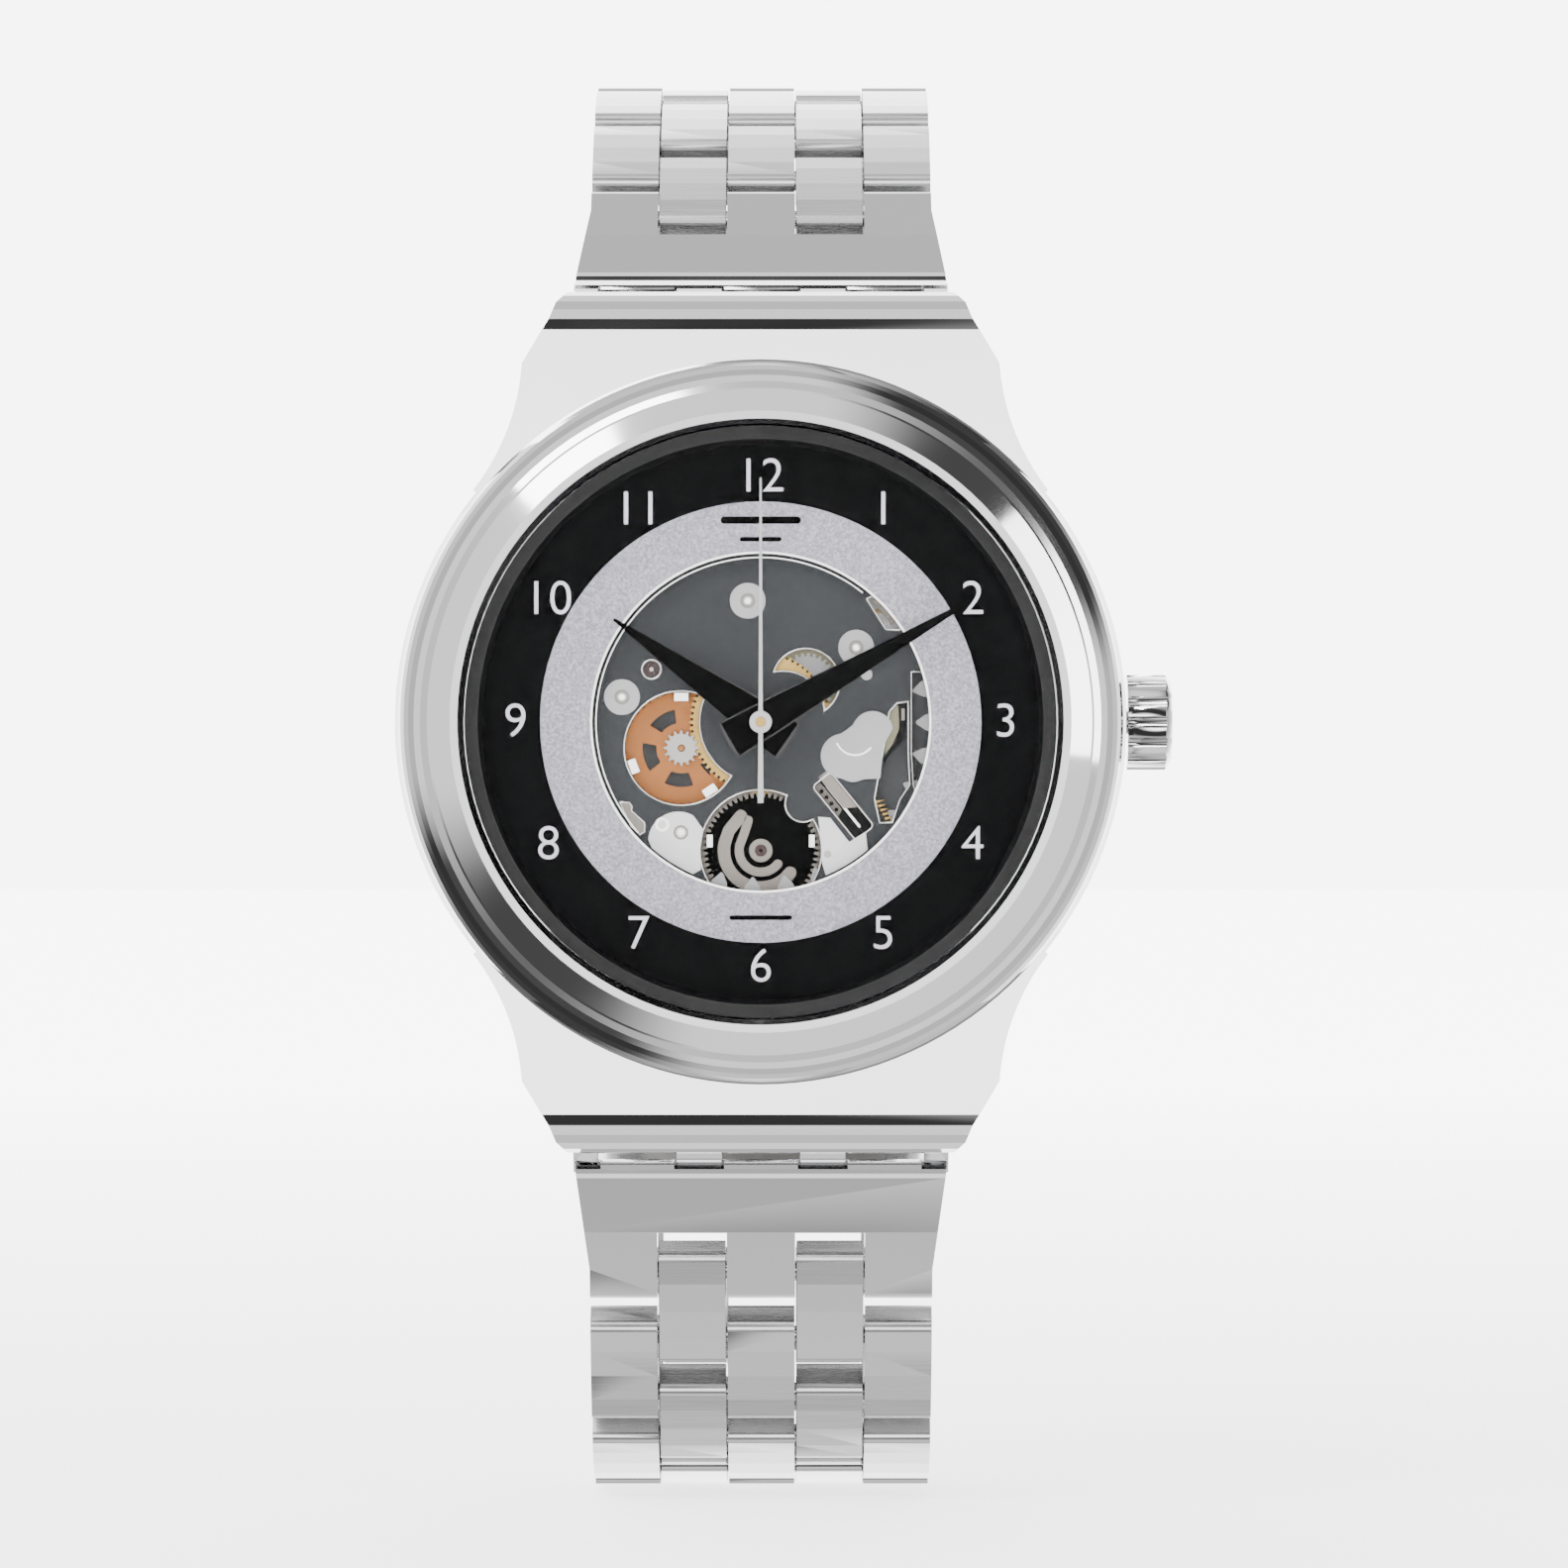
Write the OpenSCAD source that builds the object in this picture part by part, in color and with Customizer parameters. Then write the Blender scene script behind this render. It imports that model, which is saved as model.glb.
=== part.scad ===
// Self-winding wristwatch with an open-centre dial and a five-row steel link bracelet.
// The dial faces -Y with twelve o'clock towards +Z. The origin is the centre of the caseback's face.
// A height h is measured from the caseback's face towards the viewer, so y = -h.

/* [Case] */
// Diameter of the case
case_d = 42; // [41:0.5:43]
// Thickness of the case band with its lugs
case_h = 9.2; // [9:0.1:9.6]
// Length over the lugs
lug_to_lug = 49.8; // [49:0.2:50.6]
// Width of the case at the end of the lugs
lug_w = 23.6; // [23:0.2:24]
// Diameter of the crown
crown_d = 5.5; // [5:0.1:6]
/* [Dial] */
// Diameter of the opening through which the movement shows
opening_d = 19.4; // [18.5:0.1:19.6]
// Length of the hour hand from the centre
hour_len = 10.3; // [9:0.1:11]
// Length of the minute hand from the centre
minute_len = 14; // [12:0.1:15]
// Length of the seconds hand from the centre
second_len = 14; // [12:0.1:15]
// Hour shown
shown_hour = 10; // [0:1:11]
// Minute shown
shown_minute = 10; // [0:1:59]

/* [Bracelet] */
// Distance between neighbouring link pins
pitch = 4.4; // [4.2:0.1:4.6]
// Width of one of the five columns
column_w = 3.92; // [3.8:0.02:3.96]
// Thickness of a link
link_t = 2.4; // [2.2:0.1:2.5]
// Radius of a link pin
pin_r = 0.52; // [0.5:0.02:0.56]

/* [Hidden] */
rows = 10;

steel = [0.80, 0.81, 0.82];
black = [0.05, 0.05, 0.055];
plate_grey = [0.30, 0.32, 0.33];
copper = [0.80, 0.52, 0.28];
gold = [0.80, 0.68, 0.36];
bone = [0.75, 0.72, 0.68];
glass_colour = [0.85, 0.9, 0.92, 0.3];

round_fn = 96;
eps = 0.01;

// Heights of the layers of the case and movement above the caseback's face
crystal_top_h = 12.85;
bezel_base_h = 9.2;
dial_h = [7.9, 8.2];
flange_h = [8.22, 10.3];
date_h = [6.5, 6.65];
plate_h = [6.75, 7.3];
upper_gear_h = [6.1, 6.4];
lower_gear_h = [5.65, 6.05];
centre_gear_h = [5.05, 5.3];
third_gear_h = [4.5, 4.7];
fourth_gear_h = [4.05, 4.25];
bridge_h = [3.25, 3.6];
rotor_h = [1.7, 2.9];
stem_h = 5.4;

case_r = case_d / 2;
cavity_r = 17;
date_r = 14.3;
bezel_outer_r = 20.8;
bezel_edge_r = 19.05;
movement_r = 15.6;
crystal_r = 16.95;

// Gear train: the cannon pinion turns once an hour, the hour wheel once in twelve
hour_z = 72;
minute_pinion_z = 14;
minute_z = 42;
cannon_z = 18;
setting_z = 26;
barrel_z = 60;
centre_z = 75;
third_pinion_z = 10;
third_z = 80;
fourth_pinion_z = 10;
hour_module = 0.1121;
motion_module = hour_module * (hour_z + minute_pinion_z) / (minute_z + cannon_z);
third_dist = 3.34;
centre_module = 2 * third_dist / (centre_z + third_pinion_z);
fourth_module = 2 * third_dist / (third_z + fourth_pinion_z);
minute_dist = hour_module * (hour_z + minute_pinion_z) / 2;
setting_dist = motion_module * (cannon_z + setting_z) / 2;
barrel_dist = hour_module * (hour_z + barrel_z) / 2;

// Directions of the wheels from the dial's centre, in degrees from three o'clock
minute_dir = 198;
setting_dir = 41;
barrel_dir = 270;
third_dir = 135;

// Points of the movement
function polar(r, a) = [r * cos(a), r * sin(a)];
minute_at = polar(minute_dist, minute_dir);
setting_at = polar(setting_dist, setting_dir);
barrel_at = polar(barrel_dist, barrel_dir);
third_at = polar(third_dist, third_dir);
balance_at = [6.4, 6.6];
studs_at = [[-0.75, 7.0], [5.5, 4.3], [-8.0, 1.45], [-4.6, -6.35]];
jewel_at = [-6.3, 3.05];
slot_at = [4.75, -4.85];
slot_angle = -51;
slot_len = 4;
slot_w = 1.35;

// Bracelet: the angle of each row from the plane of the dial, at rest
lug_pin = [-3.2, 23.2];
end_len = 9.3;
end_angle_12 = 46;
end_angle_6 = 20;
angles_12 = [56, 60, 67, 74, 84, 104, 127, 149, 167, 175];
angles_6 = [27, 37, 52, 67, 80, 100, 122, 144, 162, 172];
link_over = 1.5;
running = 0.08;
knuckle_r = 1.5;
lug_pin_r = 0.75;

// Point on a strand after n rows, as [y, z] with z away from the dial's centre
function strand_point(end_angle, angles, n) =
    n < 0 ? lug_pin :
    n == 0 ? lug_pin + end_len * [sin(end_angle), cos(end_angle)] :
    strand_point(end_angle, angles, n - 1) + pitch * [sin(angles[n - 1]), cos(angles[n - 1])];

clasp_top = strand_point(end_angle_12, angles_12, rows);
clasp_end_out = strand_point(end_angle_6, angles_6, rows);
clasp_end = [clasp_end_out[0], -clasp_end_out[1]];
clasp_len = norm(clasp_top - clasp_end);
clasp_tilt = atan2(clasp_end[0] - clasp_top[0], clasp_top[1] - clasp_end[1]);
fold_inset = 5.5;
fold_lead = 4.2;
button_at = clasp_len - 11;
button_len = 4;

// ---- helpers ----

// A flat shape drawn in X and Z, from height h[0] to h[1]
module slab(h) translate([0, -h[0], 0]) rotate([90, 0, 0]) linear_extrude(h[1] - h[0]) children();

// A shape turned about the dial's axis from a profile in radius and height
module turned() rotate([90, 0, 0]) rotate_extrude($fn = round_fn) children();

module post(at, r, h) slab(h) translate(at) circle(r, $fn = 32);

// Outline of a gear: each tooth has a foot, a flank and a narrow tip
function gear_points(z, m, phase) = let (rp = m * z / 2, step = 360 / z)
    [for (i = [0:z - 1]) for (p = [[-0.34, -1.15], [-0.23, 0], [-0.1, 0.85], [0.1, 0.85],
                                   [0.23, 0], [0.34, -1.15]])
        polar(rp + p[1] * m, phase + step * (i + p[0]))];

// Phase of a gear with zb teeth that meshes with one of za teeth at phase a, towards direction d
function mesh_phase(a, za, zb, d) = d + 180 + 180 / zb - (a - d) * za / zb;

hour_phase = 0;
minute_pinion_phase = mesh_phase(hour_phase, hour_z, minute_pinion_z, minute_dir);
barrel_phase = mesh_phase(hour_phase, hour_z, barrel_z, barrel_dir);
minute_phase = 0;
cannon_phase = mesh_phase(minute_phase, minute_z, cannon_z, minute_dir + 180);
setting_phase = mesh_phase(cannon_phase, cannon_z, setting_z, setting_dir);
centre_phase = 0;
third_pinion_phase = mesh_phase(centre_phase, centre_z, third_pinion_z, third_dir);
third_phase = 0;
fourth_pinion_phase = mesh_phase(third_phase, third_z, fourth_pinion_z, third_dir + 180);

module gear(z, m, phase) polygon(gear_points(z, m, phase));

// A flat spiral strip
function spiral_points(r0, r1, turns, w) = let (n = ceil(turns * 28))
    concat([for (i = [0:n]) polar(r0 + (r1 - r0) * i / n, 360 * turns * i / n)],
           [for (i = [n:-1:0]) polar(r0 + (r1 - r0) * i / n + w, 360 * turns * i / n)]);

// Points of an arc about c
function arc(c, r, a0, a1, n) = [for (i = [0:n]) c + polar(r, a0 + (a1 - a0) * i / n)];

// ---- case ----

lug_z = lug_to_lug / 2;
flank_r = 13.3;
flank_at = [27, 21.5];
function lug_side(s) = [[s * 16.6, 13.4], [s * 13.75, 20.6], [s * (lug_w / 2 + 0.35), lug_z - 1.6],
                        [s * (lug_w / 2), lug_z - 0.7], [s * (lug_w / 2 - 0.7), lug_z]];

// Outline of the case seen from the front, before the flanks are scooped
module case_plan() {
    circle(case_r, $fn = round_fn);
    for (m = [0, 1]) mirror([0, m])
        polygon(concat([[0, 0]], lug_side(1), [for (i = [4:-1:0]) lug_side(-1)[i]]));
}

// Side profile in [z, h]: flat top, rounded ends and an underside that falls to the wrist
lug_end_r = 2.6;
function case_side() = let (top = case_h - 0.7)
    concat(arc([lug_z - lug_end_r, top - lug_end_r], lug_end_r, 84, 0, 6),
           [[lug_z, 2.4], [lug_z - 0.6, 1.2], [15, 1.6], [-15, 1.6], [-lug_z + 0.6, 1.2], [-lug_z, 2.4]],
           arc([-lug_z + lug_end_r, top - lug_end_r], lug_end_r, 180, 96, 6),
           [[-12, case_h], [12, case_h]]);

module case_blank() intersection() {
    slab([1, case_h + 1]) case_plan();
    rotate([90, 0, 90]) translate([0, 0, -30]) linear_extrude(60)
        polygon([for (p = case_side()) [-p[1], p[0]]]);
}

// Recess under each lug end for the bracelet's knuckles
knuckle_case = [[-9.35, -5.05], [-2.15, 2.15], [5.05, 9.35]];
knuckle_link = [[-10.9, -9.5], [-4.9, -2.3], [2.3, 4.9], [9.5, 10.9]];
module lug_recess() difference() {
    translate([-11.05, -5.6, 21.3]) cube([22.1, 5.6, 4]);
    for (k = knuckle_case) {
        translate([k[0], lug_pin[0], lug_pin[1]]) rotate([0, 90, 0])
            cylinder(r = knuckle_r, h = k[1] - k[0], $fn = 32);
        translate([k[0], -5.7, lug_pin[1] - knuckle_r])
            cube([k[1] - k[0], 5.7 + lug_pin[0], 2 * knuckle_r]);
    }
}

module case_middle() color(steel) difference() {
    case_blank();
    for (sx = [-1, 1]) for (sz = [-1, 1])
        slab([0, case_h + 2]) translate([sx * flank_at[0], sz * flank_at[1]])
            circle(flank_r, $fn = round_fn);
    slab([0, case_h + 2]) circle(cavity_r, $fn = round_fn);
    for (m = [0, 1]) mirror([0, 0, m]) {
        lug_recess();
        translate([-11.5, lug_pin[0], lug_pin[1]]) rotate([0, 90, 0])
            cylinder(r = lug_pin_r + 0.02, h = 23, $fn = 32);
    }
    translate([10, -stem_h, 0]) rotate([0, 90, 0]) cylinder(r = 1.2, h = 20, $fn = 32);
}

module bezel() color(steel) turned() polygon(concat(
    [[cavity_r + 0.03, bezel_base_h + 0.02], [bezel_outer_r, bezel_base_h + 0.02], [bezel_outer_r, 9.75]],
    arc([bezel_outer_r - 2.6, 9.1], 2.68, 14, 71, 6),
    [[bezel_edge_r - 0.1, 11.72], [17.75, 12.35], [17.3, 12.4], [cavity_r + 0.03, 12.1]]));

// The crystal is flat, with a bevelled rim
module crystal() color(glass_colour) turned() polygon([
    [0, 11.2], [crystal_r - 0.75, 11.2], [crystal_r - 0.75, 10.75], [crystal_r - 0.05, 10.75],
    [crystal_r - 0.05, 12.3], [crystal_r - 0.75, crystal_top_h], [0, crystal_top_h]]);

module crystal_gasket() color(black) slab([10.35, 10.7]) difference() {
    circle(cavity_r - 0.04, $fn = round_fn);
    circle(16.2, $fn = round_fn);
}

// Sloping ring between the dial and the crystal
module flange_ring() color(black) turned()
    polygon([[16.0, flange_h[0]], [cavity_r - 0.05, flange_h[0]], [cavity_r - 0.05, flange_h[1]],
             [16.75, flange_h[1]]]);

module dial() color(black) slab(dial_h) difference() {
    circle(16.6, $fn = round_fn);
    circle(opening_d / 2, $fn = round_fn);
}

module caseback_ring() color(steel) turned() polygon(
    [[14.6, 0.35], [15.0, 0], [17.6, 0], [18.6, 0.45], [18.7, 1.4], [cavity_r - 0.05, 1.4],
     [cavity_r - 0.05, 2.6], [16.0, 2.6], [16.0, 1.3], [14.6, 1.3]]);

module caseback_crystal() color(glass_colour) turned()
    polygon([[0, 0], [14.2, 0], [14.55, 0.35], [14.55, 1.25], [0, 1.25]]);

// ---- crown ----

crown_x0 = 21.15;
crown_len = 2.55;
crown_flutes = 14;
module crown() color(steel) translate([crown_x0, -stem_h, 0]) rotate([0, 90, 0]) difference() {
    union() {
        cylinder(r = crown_d / 2, h = crown_len - 0.35, $fn = 64);
        translate([0, 0, crown_len - 0.35])
            cylinder(r1 = crown_d / 2, r2 = crown_d / 2 - 0.45, h = 0.35, $fn = 64);
        translate([0, 0, crown_len]) cylinder(r1 = crown_d / 2 - 0.45, r2 = 0.9, h = 0.14, $fn = 64);
    }
    for (i = [0:crown_flutes - 1]) rotate(360 / crown_flutes * (i + 0.5))
        translate([crown_d / 2 + 0.12, 0, -eps]) cylinder(r = 0.36, h = crown_len - 0.3, $fn = 24);
    translate([0, 0, -1]) cylinder(r = 0.7, h = 2.1, $fn = 32);
}

stem_groove_x = 14.4;
module winding_stem() color(steel) translate([0, -stem_h, 0]) rotate([0, 90, 0]) difference() {
    union() {
        translate([0, 0, 12.6]) cylinder(r = 0.45, h = stem_groove_x - 12.6, $fn = 32);
        translate([0, 0, stem_groove_x - eps]) cylinder(r = 0.3, h = 0.6, $fn = 32);
        translate([0, 0, stem_groove_x + 0.5]) cylinder(r = 0.45, h = 2.6, $fn = 32);
        translate([0, 0, 17.4]) cylinder(r = 0.68, h = crown_x0 + 1 - 17.4, $fn = 32);
    }
}

// Forked clip that holds the stem by its groove and slides with it
module stem_clip() color(bone) translate([stem_groove_x + 0.1, -stem_h, 0]) difference() {
    translate([0, -0.9, -0.7]) cube([0.3, 1.8, 3.2]);
    translate([-1, 0, 0]) rotate([0, 90, 0]) cylinder(r = 0.36, h = 3, $fn = 32);
    translate([-1, -0.36, -2]) cube([3, 0.72, 2]);
}

// ---- movement ----

module movement_holder() color(bone) difference() {
    slab([3.0, dial_h[0] - 0.05]) difference() {
        circle(cavity_r - 0.1, $fn = round_fn);
        circle(movement_r + 0.1, $fn = round_fn);
    }
    translate([14.3, -stem_h - 1.3, -1.2]) cube([4, 2.6, 4.4]);
}

// Window over the minute wheel: a disc less the central web
module window_minute() difference() {
    translate(minute_at) circle(3.3, $fn = 64);
    circle(3.52, $fn = 64);
}
// Crescent over the setting wheel
module window_setting() difference() {
    translate([2.6, 2.3]) circle(1.95, $fn = 64);
    translate([1.3, 0.6]) circle(2.35, $fn = 64);
}
module window_barrel() difference() {
    translate(barrel_at) circle(3.52, $fn = 64);
    translate([2.45, -4.7]) circle(1.05, $fn = 32);
}
// Slanted slot over the click, with rounded corners
module window_slot() translate(slot_at) rotate(slot_angle) {
    square([slot_len, slot_w - 0.5], center = true);
    square([slot_len - 0.5, slot_w], center = true);
    for (x = [-1, 1]) for (y = [-1, 1])
        translate([x * (slot_len / 2 - 0.25), y * (slot_w / 2 - 0.25)]) circle(0.25, $fn = 24);
}
// Lever pocket beside the right edge, and the strip of the date ring's teeth beyond it
module window_lever() polygon([[7.85, 1.1], [7.4, 0.6], [7.1, -1.4], [6.55, -4.4], [6.85, -5.8],
                               [7.6, -5.8], [8.0, -4.5], [8.6, -3.6], [8.5, -1.7], [8.5, 1.2]]);
module window_date() polygon([[8.68, 2.9], [10, 2.9], [10, -5.2], [8.8, -3.75], [8.68, -1.7]]);
module window_corner() polygon([[6.1, 7.1], [7.2, 5.35], [8.0, 5.3], [8.6, 6.6], [7.4, 7.8]]);

module main_plate() color(plate_grey) {
    difference() {
        slab(plate_h) difference() {
            circle(movement_r - 0.6, $fn = round_fn);
            window_minute();
            window_setting();
            window_barrel();
            window_slot();
            window_lever();
            window_date();
            window_corner();
            translate(jewel_at) circle(0.45, $fn = 32);
            circle(0.95, $fn = 32);
        }
    }
    slab([3.7, plate_h[0]]) difference() {
        circle(movement_r - 0.6, $fn = round_fn);
        circle(movement_r - 1.2, $fn = round_fn);
        translate([10, -1.2]) square([8, 4.6]);
    }
}

// Rear bridge that carries the wheels and the rotor's stub
module train_bridge() color(bone) {
    slab(bridge_h) difference() {
        circle(movement_r - 0.6, $fn = round_fn);
        translate(barrel_at) circle(3.35, $fn = 64);
        translate(balance_at) circle(3.6, $fn = 64);
        translate(third_at) circle(0.2, $fn = 24);
        for (a = [150, 180, 210]) translate(polar(11.2, a)) circle(1.7, $fn = 32);
    }
    post([0, 0], 0.8, [1.6, bridge_h[0]]);
}

date_z = 31;
module date_ring() color(bone) slab(date_h) difference() {
    circle(date_r, $fn = round_fn);
    difference() {
        circle(10.3, $fn = round_fn);
        for (i = [0:date_z - 1]) rotate(360 / date_z * i)
            polygon([[8.95, -0.05], [9.5, -0.45], [10.5, -0.7], [10.5, 0.7], [9.5, 0.45], [8.95, 0.05]]);
    }
}

hour_tube_r = 0.85;
minute_tube_r = 0.5;
second_tube_r = 0.2;
module hour_wheel() color(gold) difference() {
    union() {
        slab(upper_gear_h) gear(hour_z, hour_module, hour_phase);
        post([0, 0], hour_tube_r, [upper_gear_h[0], 9.1]);
    }
    post([0, 0], minute_tube_r + 0.06, [upper_gear_h[0] - 1, 10]);
}

// The minute wheel is a copper disc with slots and tabs, carrying a steel pinion
module minute_wheel() color(copper) {
    slab(lower_gear_h) difference() {
        translate(minute_at) gear(minute_z, motion_module, minute_phase);
        for (a = [50:72:338]) translate(minute_at) rotate(a)
            polygon(concat(arc([0, 0], 2.25, -22, 22, 6), arc([0, 0], 1.45, 20, -20, 6)));
    }
    post(minute_at, 0.5, [lower_gear_h[0] - 0.5, lower_gear_h[1]]);
    slab([lower_gear_h[1], upper_gear_h[1]]) translate(minute_at)
        gear(minute_pinion_z, hour_module, minute_pinion_phase);
    post(minute_at, 0.16, [upper_gear_h[1] - eps, plate_h[0] + 0.1]);
}

module cannon_pinion() color(steel) difference() {
    union() {
        slab(lower_gear_h) gear(cannon_z, motion_module, cannon_phase);
        post([0, 0], minute_tube_r, [centre_gear_h[1], 9.6]);
    }
    post([0, 0], second_tube_r + 0.05, [3, 10]);
}

module setting_wheel() color(steel) slab(lower_gear_h) difference() {
    translate(setting_at) gear(setting_z, motion_module, setting_phase);
    translate(setting_at) difference() {
        circle(1.55, $fn = 64);
        circle(1.15, $fn = 64);
        square([0.5, 4], center = true);
        square([4, 0.5], center = true);
    }
    translate(setting_at) circle(0.3, $fn = 24);
}

barrel_drum_r = 2.95;
module barrel() color(black) {
    slab(upper_gear_h) difference() {
        translate(barrel_at) gear(barrel_z, hour_module, barrel_phase);
        translate(barrel_at) circle(0.4, $fn = 32);
    }
    slab([3.7, upper_gear_h[0]]) translate(barrel_at) difference() {
        circle(barrel_drum_r, $fn = 64);
        circle(barrel_drum_r - 0.2, $fn = 64);
    }
    slab([3.6, 3.75]) translate(barrel_at) difference() {
        circle(barrel_drum_r, $fn = 64);
        circle(0.4, $fn = 32);
    }
}

module mainspring() color(steel) slab([3.9, 6.1]) translate(barrel_at)
    polygon(spiral_points(0.6, 2.6, 7, 0.1));

module centre_wheel() color(gold) slab(centre_gear_h) difference() {
    gear(centre_z, centre_module, centre_phase);
    for (a = [0:72:288]) rotate(a)
        polygon(concat(arc([0, 0], 2.3, -26, 26, 6), arc([0, 0], 1.2, 20, -20, 5)));
    circle(second_tube_r + 0.05, $fn = 24);
}

module third_wheel() color(gold) {
    slab(third_gear_h) difference() {
        translate(third_at) gear(third_z, fourth_module, third_phase);
        for (a = [0:72:288]) translate(third_at) rotate(a)
            polygon(concat(arc([0, 0], 2.3, -26, 26, 6), arc([0, 0], 1.2, 20, -20, 5)));
    }
    slab([third_gear_h[1], centre_gear_h[1]]) translate(third_at)
        gear(third_pinion_z, centre_module, third_pinion_phase);
    post(third_at, 0.15, [bridge_h[0], third_gear_h[0] + eps]);
}

module fourth_wheel() color(gold) {
    slab(fourth_gear_h) difference() {
        circle(2.6, $fn = 64);
        for (a = [0:90:270]) rotate(a)
            polygon(concat(arc([0, 0], 2.1, -34, 34, 6), arc([0, 0], 1.0, 28, -28, 5)));
    }
    slab([fourth_gear_h[1], third_gear_h[1]]) gear(fourth_pinion_z, fourth_module, fourth_pinion_phase);
    post([0, 0], second_tube_r, [bridge_h[1] + 0.1, 10.05]);
}

balance_h = [4.1, 4.5];
module balance_wheel() color(gold) {
    slab(balance_h) translate(balance_at) difference() {
        circle(3.2, $fn = 64);
        difference() {
            circle(2.75, $fn = 64);
            square([7, 0.5], center = true);
            circle(0.5, $fn = 32);
        }
    }
    post(balance_at, 0.15, [3.7, 6.6]);
}

module balance_spring() color([0.25, 0.3, 0.5]) slab([4.8, 5.0]) translate(balance_at)
    polygon(spiral_points(0.25, 1.9, 9, 0.05));

// Half-disc oscillating weight on a central ring
module rotor() color(steel) {
    slab(rotor_h) difference() {
        intersection() {
            difference() {
                circle(14.0, $fn = round_fn);
                circle(10.8, $fn = round_fn);
            }
            translate([-16, -16]) square([32, 14.5]);
        }
    }
    slab([rotor_h[1] - 0.7, rotor_h[1]]) difference() {
        union() {
            circle(2.4, $fn = 64);
            intersection() {
                circle(11, $fn = round_fn);
                polygon([[-2, 1], [2, 1], [10.8, -1.5], [10.8, -12], [-10.8, -12], [-10.8, -1.5]]);
            }
        }
        circle(0.88, $fn = 32);
        for (a = [210:30:330]) translate(polar(7.2, a)) circle(1.4, $fn = 32);
    }
}

stud_r = 1.03;
module plate_studs() color(steel) for (p = studs_at) slab([plate_h[1], plate_h[1] + 0.06])
    translate(p) difference() {
        circle(stud_r, $fn = 48);
        circle(0.2, $fn = 24);
    }

// ---- hands ----

// A pointed hand with a short flared tail, pointing to twelve
module hand_shape(len, w, tail_w, tail) polygon(
    [[0, len], [-w / 2, 0.9], [-tail_w / 2, -tail], [-tail_w / 2 + 0.5, -tail - 0.12],
     [tail_w / 2 - 0.5, -tail - 0.12], [tail_w / 2, -tail], [w / 2, 0.9]]);

module hand(len, w, tail_w, tail, hole_r, h, angle) slab(h) rotate(-angle) difference() {
    hand_shape(len, w, tail_w, tail);
    circle(hole_r, $fn = 32);
}

hour_angle = shown_hour * 30 + shown_minute / 2;
minute_angle = shown_minute * 6;
module hour_hand() color(black)
    hand(hour_len, 2.2, 2.5, 1.9, hour_tube_r + eps, [8.75, 8.95], hour_angle);
module minute_hand() color(black)
    hand(minute_len, 2.0, 2.3, 2.1, minute_tube_r + eps, [9.3, 9.5], minute_angle);
module second_hand() color(steel) {
    slab([9.75, 9.9]) {
        difference() {
            circle(0.64, $fn = 48);
            circle(second_tube_r + eps, $fn = 24);
        }
        polygon([[-0.06, second_len], [0.06, second_len], [0.12, 0.4], [-0.12, 0.4]]);
        polygon([[-0.12, -0.4], [0.12, -0.4], [0.17, -4.65], [-0.17, -4.65]]);
    }
}

// ---- bracelet ----

// Puts a piece drawn along +Z from its pin onto a strand; side is 1 for twelve o'clock, -1 for six
module on_strand(side, at, angle) mirror([0, 0, side < 0 ? 1 : 0])
    translate([0, at[0], at[1]]) rotate([-angle, 0, 0]) children();

// A solid of constant section along X; the section is in [distance along the strand, outward height]
module across(x, section) translate([x[0], 0, 0]) rotate([90, 0, 90])
    linear_extrude(x[1] - x[0]) polygon([for (p = section) [-p[1], p[0]]]);

module cross_pin(x, w, r) translate([x[0], 0, w]) rotate([0, 90, 0])
    cylinder(r = r, h = x[1] - x[0], $fn = 32);

// Section of a link: crowned front, rounded shoulders, flat back
shoulder = 0.55;
crown_rise = 0.16;
function link_section(w0, w1) = let (t = link_t / 2, s = shoulder)
    concat(arc([w0 + s, -t + s], s, 270, 180, 4), arc([w0 + s, t - s - crown_rise], s, 180, 100, 5),
           [for (k = [0.25, 0.5, 0.75]) [w0 + (w1 - w0) * k, t - crown_rise * pow(2 * k - 1, 2)]],
           arc([w1 - s, t - s - crown_rise], s, 80, 0, 5), arc([w1 - s, -t + s], s, 0, -90, 4));

column_pitch = column_w + 0.1;
function column_x(c) = [c * column_pitch - column_w / 2, c * column_pitch + column_w / 2];

outer_columns = [-2, 0, 2];
inner_columns = [-1, 1];
strand_half = 2 * column_pitch + column_w / 2;

// A row of links spanning two pins. Three-link rows hold the pins, two-link rows turn on them.
module link_row(n) color(steel) {
    three = n % 2 == 0;
    difference() {
        for (c = three ? outer_columns : inner_columns)
            across(column_x(c), link_section(-link_over, pitch + link_over));
        for (w = [0, pitch]) cross_pin([-12, 12], w, pin_r + (three ? 0.02 : running));
    }
    if (three) for (w = [0, pitch]) cross_pin([-strand_half + 0.15, strand_half - 0.15], w, pin_r);
}

module links_12(n) on_strand(1, strand_point(end_angle_12, angles_12, n - 1), angles_12[n - 1]) link_row(n);
module links_6(n) on_strand(-1, strand_point(end_angle_6, angles_6, n - 1), angles_6[n - 1]) link_row(n);

// End link: knuckles on the lug pin, a full-width body and three fingers around two slots
body_w0 = 2.15;
slot_w0 = 6.45;
end_half = 10.95;
end_top = 1.35;
function end_section() = concat(
    [[body_w0 + 0.4, -1.1], [body_w0, -0.6]], arc([body_w0 + 0.9, end_top - 0.9], 0.9, 180, 95, 5),
    [[6.4, 1.3]], arc([end_len + link_over - 0.55, link_t / 2 - 0.6], 0.55, 80, 0, 4),
    [[end_len + link_over, -0.8], [end_len + link_over - 0.4, -link_t / 2]]);

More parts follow.
